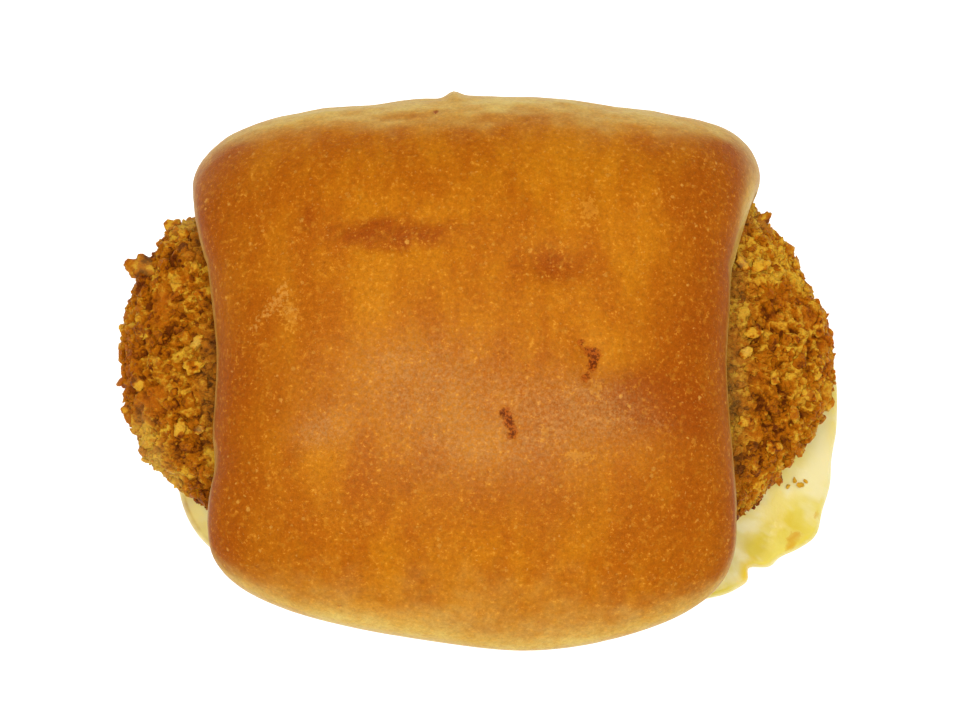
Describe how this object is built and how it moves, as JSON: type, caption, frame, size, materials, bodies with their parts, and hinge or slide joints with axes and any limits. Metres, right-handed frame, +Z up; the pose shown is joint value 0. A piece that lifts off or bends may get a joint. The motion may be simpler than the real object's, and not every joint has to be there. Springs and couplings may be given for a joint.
{
  "type": "croquette bun",
  "caption": "Soft roll folded over a breaded oval croquette, whose ends stick out of both sides, lying on a thin sheet of fried egg.",
  "frame": {"origin": "middle of the footprint, on the surface that the bun rests on", "axes": "+X along the croquette, to the right as seen from the mouth; +Y to the back, where the roll is folded; +Z up"},
  "size_m": [0.1098, 0.0836, 0.0521],
  "materials": {
    "crust": "baked golden-brown crust with a soft sheen, paler at the fold and at the front lip",
    "fried_crumb": "rough golden-brown fried breadcrumbs",
    "egg": "pale yellow fried egg, moist and slightly glossy, browned in spots"
  },
  "bodies": {
    "root": {"roll": "crust", "croquette": "fried_crumb", "egg_sheet": "egg"}
  },
  "joints": []
}
